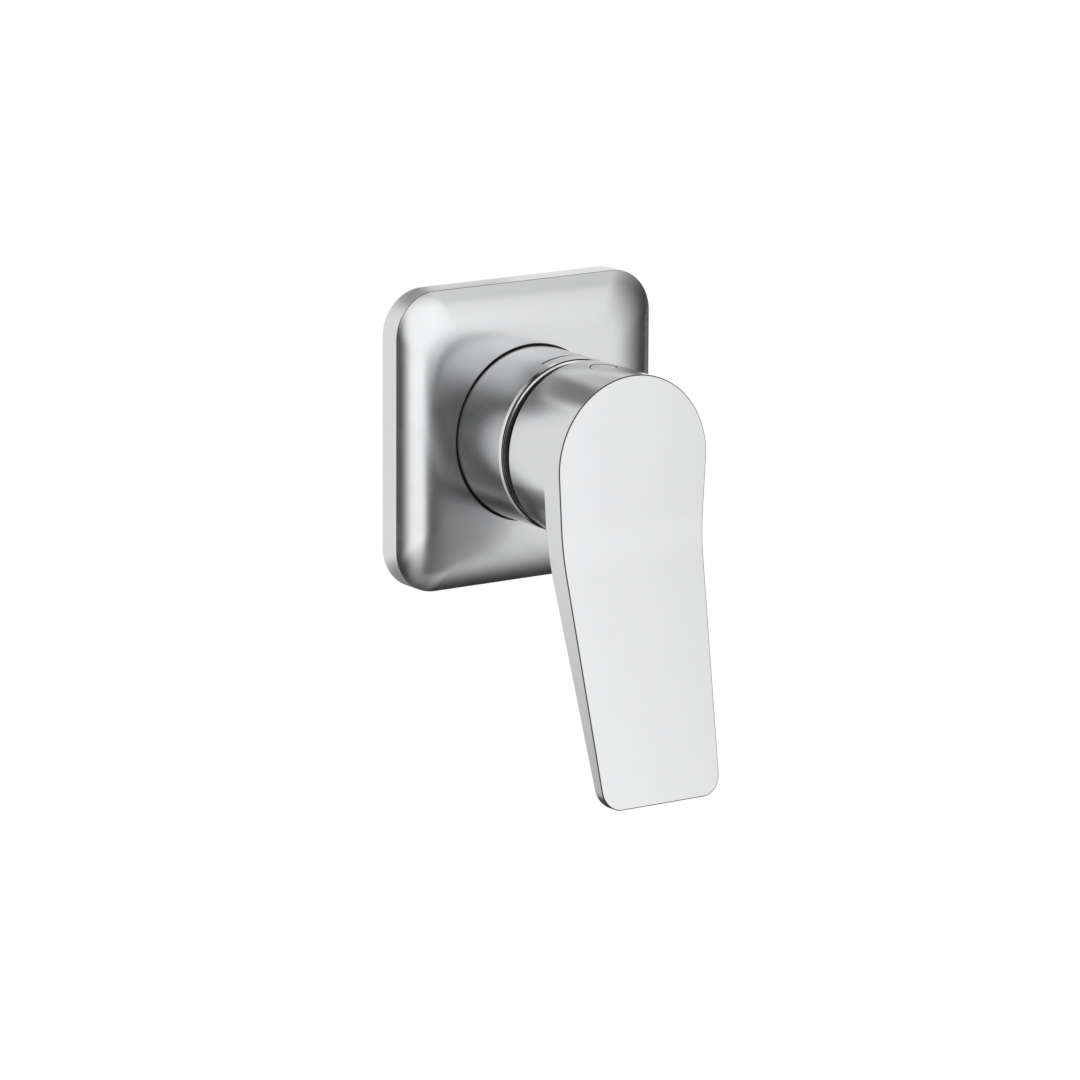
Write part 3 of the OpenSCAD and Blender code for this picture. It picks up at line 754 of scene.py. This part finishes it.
def square_ring(inset, out, closing=1.0):
    """Points of the plate's rounded square, moved in by the inset. Closing is the share of it
    that the corners' radius loses: below 1 they grow softer towards the middle."""
    half, corner = PLATE_HALF - inset, PLATE_CORNER - inset * closing
    inner = half - corner
    quadrant = [(half, inner * 2 * i / QUARTER) for i in range(QUARTER // 2)]
    for i in range(QUARTER):
        x, up = polar(corner, math.pi / 2 * i / QUARTER)
        quadrant.append((inner + x, inner + up))
    quadrant += [(inner * (1 - 2 * i / QUARTER), half) for i in range(QUARTER // 2)]
    points = []
    for _ in range(4):
        points += [(x, up, out) for x, up in quadrant]
        quadrant = [(-up, x) for x, up in quadrant]
    return points


def round_ring(radius, out):
    count = 8 * QUARTER
    return [(*polar(radius, 2 * math.pi * i / count), out) for i in range(count)]


def rolled(front_at, rim, roll, steps):
    """The soft roll from the rim to the flat front, as (inset, out) pairs."""
    height = front_at - rim
    radius = (roll ** 2 + height ** 2) / (2 * height)
    widest = math.asin(roll / radius)
    angles = [widest * (1 - i / steps) for i in range(steps + 1)]
    return [(roll - radius * math.sin(a), front_at - radius * (1 - math.cos(a))) for a in angles]


def pillow(reach=15.0, power=3.1, steps=60):
    """The plate's soft front from rim to flat, as (inset, out) pairs. It lies within 0.3 mm of
    the solid's plain roll, and never in front of it."""
    return [(reach * i / steps, PLATE_FRONT - (PLATE_FRONT - RIM) * (1 - i / steps) ** power)
            for i in range(steps + 1)]


def cover_plate():
    """From the rim's back over the soft front into the hole, and back behind the front."""
    solid = Solid()
    soft_front = pillow()[3:]        # its first steps make room for the rim's round edge
    edge = rounded([(0.0, 0.0, 0), (0.0, RIM, 0.2), soft_front[0] + (0,)], 4)[1:-1]
    foot = [(0.12, 0.0), (0.0, 0.12)]
    rings = [solid.ring(square_ring(*place, SOFTER)) for place in foot + edge + soft_front]
    edge_shade_rings = range(len(foot), len(foot) + len(edge) - 1)     # painted shade: the dark line along the edge
    section = [(HOLE_R + 0.26, PLATE_FRONT), (HOLE_R + 0.1, PLATE_FRONT - 0.05),
               (HOLE_R - 0.06, PLATE_FRONT - 0.16), (HOLE_R - LIP, PLATE_FRONT - 0.35),
               (HOLE_R - LIP, LIP_BACK + 0.3), (HOLE_R, LIP_BACK), (HOLE_R, GROOVE_FRONT),
               (GROOVE_R, GROOVE_FRONT), (GROOVE_R, GROOVE_BACK), (HOLE_R, GROOVE_BACK),
               (HOLE_R, COLLAR_BACK + 0.2), (HOLE_R + 0.2, COLLAR_BACK),
               (COLLAR_R - 0.2, COLLAR_BACK), (COLLAR_R, COLLAR_BACK + 0.2),
               (COLLAR_R, PLATE_FRONT - PLATE_WALL)]
    rings += [solid.ring(round_ring(*place)) for place in section]
    back = rolled(PLATE_FRONT - PLATE_WALL, RIM - PLATE_WALL, ROLL_WIDTH - PLATE_WALL, 24)
    rings += [solid.ring(square_ring(PLATE_WALL + inset, out)) for inset, out in reversed(back)]
    rings.append(solid.ring(square_ring(PLATE_WALL, 0.12)))
    rings.append(solid.ring(square_ring(PLATE_WALL - 0.12, 0.0)))
    for i, ring in enumerate(rings):
        solid.paint = 1 if i in edge_shade_rings else 0
        solid.bridge(ring, rings[(i + 1) % len(rings)])
    return solid.mesh("plate_skin")


def plate_finish(r, out, facing):
    """Painted shade in the hole, round the collar and on the back."""
    round_hole = r < COLLAR_R + 0.1 and (r < HOLE_R + 0.25 or out < 9)
    return 2 if round_hole or facing < -0.05 else None


shade(piece("plate_skin", finish_faces(cover_plate(), plate_finish),
            (plate_chrome, chrome_edge_shade, chrome_inside_shade), "fixed", "chrome", "cover_plate"), 40)


# foam gasket behind the plate
GASKET_WIDTH, GASKET_DEPTH = 5.0, 3.0


def gasket():
    solid = Solid()
    outer, inner, depth = PLATE_WALL, PLATE_WALL + GASKET_WIDTH, GASKET_DEPTH
    solid.loft([solid.ring(square_ring(*place)) for place in (
        (outer, 0.5), (outer + 0.15, 0.15), (outer + 0.5, 0.0), (inner - 0.5, 0.0),
        (inner - 0.15, 0.15), (inner, 0.5), (inner, depth), (outer, depth))], closed=True)
    return solid.mesh("gasket_skin")


shade(piece("gasket_skin", gasket(), foam, "fixed", "foam", "plate_gasket"), 50)


# valve body: a brass casting, machined where it seals, takes a thread or is held
NECK_R, NECK_FRONT, NECK_CAST = 21.3, 15.5, -20.0
SEAL_FLOOR, SEALS_AT, SEAL_R = 20.2, (-1.5, 6), 0.9
CORE_R, FOOT_BACK, FOOT_PLATE, LUG_AT, LUG_R, LUG_HOLE_R = 20.0, -51.0, 4.0, 27.0, 6.5, 2.75
PORT_DEPTH, REACH, ARM_R, HEX_FLATS, HEX_LENGTH, PASSAGE_R = 36.0, 41.0, 13.5, 30.0, 10.0, 3.6
THREAD_R, THREAD_DEPTH, PITCH, THREAD_LENGTH = 10.48, 1.16, 1.814, 14.0
CARTRIDGE_BORE, BASE_BACK, NUT_BORE, SHOULDER = 17.6, -16.0, 19.0, 11.4
WAYS, WAY_R = [(-7.6, -5.4), (7.6, -5.4), (0, 8.5)], 3.0    # water ways under the cartridge
PEGS, PEG_R, PEG_DEPTH = [(-12, 7.5), (12, 7.5)], 2.3, 3.1  # holes for its two pegs
SPOT_R, SPOT_DEPTH = 5.0, 0.35          # spot faces on the lugs
VOXEL, SMOOTHING, SMOOTHINGS = 0.85, 0.5, 7                 # of the casting's skin
CENTRE = Vector((0, 0, -PORT_DEPTH))
ARMS = (RIGHT, -RIGHT, UP, -UP)


def threaded(name, radius, low, high, start, along, flared=False, tapered=False, paint=0):
    """A rod with a pipe thread, whose mouth at low can flare and whose end at high can taper."""
    rows = math.ceil((high - low) / PITCH * 8)
    sides = 48
    solid = Solid()
    solid.paint = paint
    first, second = OUT, along.cross(OUT)
    rings = []
    for row in range(rows + 1):
        at = low + (high - low) * row / rows
        points = []
        for i in range(sides):
            phase = (at / PITCH - i / sides) % 1
            ridge = min(1.0, max(0.0, abs(2 * phase - 1) * 1.3 - 0.15))
            r = radius - THREAD_DEPTH * ridge
            if flared:
                r = max(r, radius + 0.5 - max(at, 0) * 0.8)
            if tapered:
                r = min(r, radius - THREAD_DEPTH - 0.3 + (high - at) * 0.9)
            angle = 2 * math.pi * i / sides
            points.append(start + along * at
                          + (first * math.cos(angle) + second * math.sin(angle)) * r)
        rings.append(solid.ring(points))
    solid.loft(rings)
    return solid.mesh(name)


def joined(name, meshes):
    bm = bmesh.new()
    for mesh in meshes:
        bm.from_mesh(mesh)
        bpy.data.meshes.remove(mesh)
    result = bpy.data.meshes.new(name)
    bm.to_mesh(result)
    bm.free()
    return result


def lug_bar(turn):
    """One bar of the cross-shaped foot, with round ends."""
    solid = Solid()
    reach = LUG_AT * math.sqrt(2)
    outline = []
    for side, end in ((1, 0), (-1, 180)):
        for i in range(17):
            x, up = polar(LUG_R, math.radians(end - 90 + 180 * i / 16))
            outline.append(Vector((side * reach + x, up)))
    for point in outline:
        point.rotate(Matrix.Rotation(math.radians(turn), 2))
    solid.loft([solid.ring([(p.x, p.y, out) for p in outline])
                for out in (FOOT_BACK, FOOT_BACK + FOOT_PLATE)])
    return solid.mesh("lug_bar")


def casting():
    """The rough casting: its parts melted into one skin, with a fillet wherever two meet."""
    parts = [spun("core", [(CORE_R, FOOT_BACK), (CORE_R, -PORT_DEPTH)], (0, 0, 0), OUT),
             spun("neck", [(NECK_R + 0.3, -PORT_DEPTH - 4), (NECK_R + 0.3, NECK_CAST)], (0, 0, 0),
                  OUT)]
    parts += [spun("arm", [(ARM_R, 0), (ARM_R, REACH - HEX_LENGTH + 3)], CENTRE, way)
              for way in ARMS]
    parts += [lug_bar(turn) for turn in (45, 135)]
    rough = tool(joined("casting", parts))
    skin = rough.modifiers.new("skin", "REMESH")
    skin.mode = "VOXEL"
    skin.voxel_size = VOXEL * MM
    skin.use_smooth_shade = True
    soft = rough.modifiers.new("soft", "SMOOTH")
    soft.factor = SMOOTHING
    soft.iterations = SMOOTHINGS
    mesh = evaluated(rough)
    bpy.data.objects.remove(rough)
    return mesh


def machined():
    """What is turned or milled: the neck with its seal grooves, and the hexagon ends."""
    neck = [(NECK_R, NECK_CAST - 3)]
    for at in SEALS_AT:
        neck += [(NECK_R, at - SEAL_R), (SEAL_FLOOR, at - SEAL_R), (SEAL_FLOOR, at + SEAL_R),
                 (NECK_R, at + SEAL_R)]
    neck += [(NECK_R, NECK_FRONT - 0.4), (NECK_R - 0.4, NECK_FRONT)]
    parts = [tool(spun("neck", neck, (0, 0, 0), OUT, paint=1))]
    corner, inner = HEX_FLATS / 2 / math.cos(math.radians(30)), REACH - HEX_LENGTH
    for way in ARMS:
        end = tool(hexagon(HEX_FLATS, inner, REACH, CENTRE, way))
        cone = [(corner - 1.3, inner - 0.1), (corner + 0.1, inner + 0.7),
                (corner + 0.1, REACH - 0.8), (corner - 1.6, REACH + 0.1)]
        combine(end, tool(spun("cone", cone, CENTRE, way, paint=1)), operation="INTERSECT")
        parts.append(end)
    return parts


def bores():
    """What is drilled or tapped, in groups of bores that don't cross each other."""
    def drill(radius, low, high, start, along=OUT, sides=48):
        return spun("bore", [(radius, low), (radius, high)], start, along, sides, paint=1)

    lugs = [Vector((x, up, 0)) for x in (-LUG_AT, LUG_AT) for up in (-LUG_AT, LUG_AT)]
    lug_front, base = FOOT_BACK + FOOT_PLATE, BASE_BACK + 1
    length = REACH - THREAD_LENGTH + 0.5
    first = [spun("bore", [(CARTRIDGE_BORE, BASE_BACK), (CARTRIDGE_BORE, SHOULDER),
                           (NUT_BORE, SHOULDER), (NUT_BORE, NECK_FRONT - 0.5),
                           (NUT_BORE + 0.6, NECK_FRONT + 0.1)], (0, 0, 0), OUT, paint=1)]
    first += [threaded("port", THREAD_R, -1, THREAD_LENGTH, CENTRE + way * REACH, -way,
                       flared=True, paint=1) for way in ARMS]
    first += [drill(LUG_HOLE_R, FOOT_BACK - 1, lug_front + 1, lug) for lug in lugs]
    second = [drill(PASSAGE_R, -length, length, CENTRE, UP)]
    second += [drill(PASSAGE_R, 7.5, length, CENTRE, way) for way in ARMS[:2]]
    second += [drill(SPOT_R, lug_front - SPOT_DEPTH, FOOT_BACK + 8, lug) for lug in lugs]
    third = [drill(WAY_R, -PORT_DEPTH, base, (x, up, 0), sides=32) for x, up in WAYS]
    third += [drill(PEG_R, BASE_BACK - PEG_DEPTH, base, (x, up, 0), sides=32) for x, up in PEGS]
    return [tool(joined("bores", group)) for group in (first, second, third)]


body = piece("valve_body_skin", casting(), (cast_brass, turned_brass), "fixed", "body_brass",
             "valve_body")
combine(body, *machined(), operation="UNION")
combine(body, *bores())
shade(body, 35)


# plug and its seal in the lower outlet
PLUG_R, PLUG_HEAD, PLUG_SEAL, PLUG_SEAL_R, PLUG_END = 13.0, 3.0, 1.6, 12.0, 12.0
PLUG_SEAT, PLUG_BOTTOM = -PLUG_SEAL, -PLUG_SEAL - PLUG_HEAD
PLUG_AT = CENTRE - UP * REACH
PLUG_SOCKET_FLATS, PLUG_SOCKET_FLOOR = 8.0, PLUG_SEAT + 2.4

plug = piece("outlet_plug_skin", spun("outlet_plug_skin", [
    (PLUG_R - 0.9, PLUG_BOTTOM), (PLUG_R, PLUG_BOTTOM + 0.6), (PLUG_R, PLUG_SEAT - 0.2),
    (PLUG_R - 0.2, PLUG_SEAT)], PLUG_AT, UP),
    turned_brass, "fixed", "turned_brass", "outlet_plug")
combine(plug, tool(threaded("thread", THREAD_R - 0.06, PLUG_SEAT - 0.5, PLUG_END, PLUG_AT, UP,
                            tapered=True)), operation="UNION")
combine(plug, tool(hexagon(PLUG_SOCKET_FLATS, PLUG_BOTTOM - 1, PLUG_SOCKET_FLOOR, PLUG_AT, UP)))
shade(plug, 30)

shade(piece("plug_seal_skin", spun("plug_seal_skin", rounded([
    (THREAD_R - 0.05, PLUG_SEAT, 0.3), (PLUG_SEAL_R, PLUG_SEAT, 0.5), (PLUG_SEAL_R, 0, 0.5),
    (THREAD_R - 0.05, 0, 0.3)]), PLUG_AT, UP, closed=True), rubber, "fixed", "rubber_black",
    "plug_seal"), 50)


# backdrop
def flat(name, corners, material):
    mesh = bpy.data.meshes.new(name)
    mesh.from_pydata(corners, [], [(0, 1, 2, 3)])
    mesh.materials.append(material)
    obj = add_object(name, mesh)
    return obj


WALL, SHOWN, WALL_AT = 1.2, 0.45, 0.0004    # reach in reflections and to the camera, place
FLOOR, FLOOR_AT = 4, -0.26
FADE_START, FADE_END = 0.35, 1.1            # of the floor, from the origin


def from_the_front(n, shader):
    """Ends a material that shows on a face's front only."""
    clear = n.add("BsdfTransparent").outputs[0]
    from_behind = n.add("NewGeometry").outputs["Backfacing"]
    finish_material(n, n.add("MixShader", {0: from_behind, 1: shader, 2: clear}).outputs[0])


def wall_material():
    """White to the camera round the object, and in reflections white with patches of painted
    shade, mostly the object's shadow.
    """
    material, n = new_material("wall_white")
    x, _, z = n.add("SeparateXYZ", {0: n.add("TexCoord").outputs["Object"]}).outputs

    def shade_patch(strength, left, right, bottom, top, soft):
        """Brightness of the wall with a soft-edged patch of painted shade on it, in millimetres.
        """
        sides = [n.soft(x, (left - soft) * MM, (left + soft) * MM),
                 n.soft(x, (right + soft) * MM, (right - soft) * MM),
                 n.soft(z, (bottom - soft) * MM, (bottom + soft) * MM),
                 n.soft(z, (top + soft) * MM, (top - soft) * MM)]
        return n.maths("SUBTRACT", 1.0, n.product(strength, *sides))

    path = n.add("LightPath").outputs
    far = 600
    # patches of painted shade on the wall, mostly the object's shadow, which only reflections show
    shaded = n.product(
        0.92, shade_patch(0.35, -32, far, 48, far, 5), shade_patch(0.62, -28, 0, 43, 74, 6),
        shade_patch(0.5, -40, 56, -far, -38, 10), shade_patch(0.75, -44, 34, -far, -48, 12),
        shade_patch(0.55, -far, far, -far, -95, 75), shade_patch(0.6, -38, -26, 37, 46, 4),
        shade_patch(0.6, -45, -26, -47, -34, 3.5), shade_patch(0.92, 62, far, -28, 60, 12),
        shade_patch(0.3, 38, 62, -110, -60, 8))
    strength = n.add("Mix", {"Factor": path["Is Glossy Ray"], 2: 1.0, 3: shaded}).outputs[0]
    light = n.glow(strength)
    reach = n.maths("MAXIMUM", n.maths("ABSOLUTE", x), n.maths("ABSOLUTE", z))
    beyond = n.product(path["Is Camera Ray"], n.maths("GREATER_THAN", reach, SHOWN))
    clear = n.add("BsdfTransparent").outputs[0]
    from_the_front(n, n.add("MixShader", {0: beyond, 1: light, 2: clear}).outputs[0])
    return material


def floor_material():
    """Plain pale paint, which keeps the object's shadow and fades to white for the camera
    further away."""
    material, n = new_material("floor_paint")
    place = n.add("TexCoord").outputs["Object"]
    tint = n.add("Mix", {"Factor": n.noise(place, 3.0, 3.0), 6: (0.885, 0.885, 0.885, 1),
                         7: (0.9, 0.9, 0.9, 1)}, data_type="RGBA")
    paint = n.add("BsdfDiffuse", {"Color": tint.outputs[2]}).outputs[0]
    white = n.glow(1.0)
    x, y, _ = n.add("SeparateXYZ", {0: place}).outputs
    faded = n.product(n.add("LightPath").outputs["Is Camera Ray"],
                      n.soft(n.length(x, y), FADE_START, FADE_END))
    from_the_front(n, n.add("MixShader", {0: faded, 1: paint, 2: white}).outputs[0])
    return material


SQUARE = ((-1, -1), (1, -1), (1, 1), (-1, 1))
wall = flat("wall", [(a * WALL, WALL_AT, b * WALL) for a, b in SQUARE], wall_material())
wall.visible_diffuse = False
wall.visible_shadow = False
flat("floor", [(a * FLOOR, b * FLOOR, FLOOR_AT) for a, b in SQUARE], floor_material())


# light
STUDIO_DIM, ROOM = 0.28, 0.55    # the world between the lights in metal, and to other surfaces
LAMP_SIZE, LAMP_POWER = 1.0, 18
TENT_R = 1.2


def make_world():
    """White to the camera. Metal sees it as a studio with soft lights high, left and right."""
    world = bpy.data.worlds.new("studio")
    scene.world = world
    world.use_nodes = True
    n = Nodes(world.node_tree)
    path = n.add("LightPath").outputs
    x, _, z = n.add("SeparateXYZ", {0: n.add("TexCoord").outputs["Generated"]}).outputs
    sides = n.maths("MAXIMUM", n.soft(x, 0.35, 0.8), n.product(0.7, n.soft(x, -0.45, -0.85)))
    lights = n.maths("MAXIMUM", sides, n.soft(z, 0.15, 0.6))
    studio = n.span(lights, 0.0, 1.0, STUDIO_DIM, 1.0)
    white = n.maths("ADD", path["Is Camera Ray"], path["Is Transmission Ray"], clamp=True)
    plain = n.add("Mix", {"Factor": white, 2: ROOM, 3: 1.0}).outputs[0]
    strength = n.add("Mix", {"Factor": path["Is Glossy Ray"], 2: plain, 3: studio}).outputs[0]
    n.add("OutputWorld", {"Surface": n.add("Background", {
        "Color": (1, 1, 1, 1), "Strength": strength}).outputs[0]})


def lamp(name, place):
    """A soft square light towards the object. It isn't seen in reflections, which show the
    tent and the world instead."""
    data = bpy.data.lights.new(name, "AREA")
    data.size = LAMP_SIZE
    data.energy = LAMP_POWER
    obj = add_object(name, data)
    obj.location = place
    obj.rotation_euler = Vector(place).to_track_quat("Z", "Y").to_euler()
    obj.visible_glossy = False


def tent_material():
    """The lit inside of the studio, by direction: a wide soft light ahead, a paler one far to
    the left, one high and one low to the right, and dark elsewhere."""
    material, n = new_material("studio_tent")
    way = n.add("VectorMath", {0: n.add("TexCoord").outputs["Object"]},
                operation="NORMALIZE").outputs[0]
    x, y, z = n.add("SeparateXYZ", {0: way}).outputs
    azimuth = n.maths("DEGREES", n.maths("ARCTAN2", x, n.maths("MULTIPLY", y, -1.0)))
    elevation = n.maths("DEGREES", n.maths("ARCSINE", z))

    def by_direction(azimuths, elevations):
        return n.product(n.curve(azimuth, azimuths), n.curve(elevation, elevations))

    ahead = by_direction(
        [(-30, 0.0), (-25, 0.1), (-20, 0.6), (-15, 1.1), (-10, 1.25), (28, 1.29), (36, 0.98),
         (44, 0.52), (54, 0.3), (68, 0.08), (88, 0.0)],
        [(-78, 0.0), (-62, 0.07), (-48, 0.24), (-36, 0.4), (-26, 0.58), (-18, 0.94),
         (-12, 1.02), (8, 0.97), (24, 1.0), (34, 0.8), (44, 0.48), (56, 0.3), (70, 0.22)])
    aside = n.soft(azimuth, -3, -17)
    for strength, start, end in ((0.9, -20, -32), (0.5, 26, 38)):
        corner = n.product(strength, aside, n.soft(elevation, start, end))
        ahead = n.product(ahead, n.maths("SUBTRACT", 1.0, corner))
    left = by_direction(
        [(-92, 0.84), (-76, 0.82), (-62, 0.73), (-50, 0.54), (-43, 0.22), (-37, 0.03), (-33, 0.0)],
        [(-78, 0.3), (-62, 0.4), (-48, 0.52), (-36, 0.66), (-26, 0.8), (-12, 0.95), (0, 1.0),
         (22, 1.0), (44, 0.88), (70, 0.78)])
    high = by_direction(
        [(4, 0.0), (14, 0.35), (26, 0.55), (33, 0.9), (38, 0.96), (44, 0.86), (60, 0.66),
         (90, 0.55)],
        [(5, 0.0), (22, 0.45), (34, 0.85), (44, 1.0), (56, 0.98), (70, 0.8)])
    low = by_direction(
        [(14, 0.0), (24, 0.9), (30, 1.15), (36, 0.98), (44, 0.5), (54, 0.25), (68, 0.05)],
        [(-80, 0.02), (-66, 0.12), (-57, 0.32), (-48, 0.56), (-38, 0.74), (-26, 0.84),
         (-18, 0.94), (-10, 0.0)])
    light = ahead
    for part in (left, high, low):
        light = n.maths("MAXIMUM", light, part)
    light = n.maths("ADD", light, 0.01)
    finish_material(n, n.glow(light))
    return material


def make_tent():
    """Half a sphere in front of the wall, flat above the floor. Only reflections show it."""
    mesh = bpy.data.meshes.new("tent")
    bm = bmesh.new()
    bmesh.ops.create_uvsphere(bm, u_segments=48, v_segments=24, radius=TENT_R)
    bmesh.ops.delete(bm, geom=[v for v in bm.verts if v.co.y > 0.001], context="VERTS")
    for vert in bm.verts:
        vert.co.z = max(vert.co.z, FLOOR_AT + 0.01)
    bm.to_mesh(mesh)
    bm.free()
    mesh.materials.append(tent_material())
    tent = add_object("tent", mesh)
    for ray in "camera", "diffuse", "transmission", "volume_scatter", "shadow":
        setattr(tent, "visible_" + ray, False)


make_world()
make_tent()
lamp("key_front", (-1.1, -1.5, 1.3))
lamp("key_back", (1.2, 1.5, 1.2))
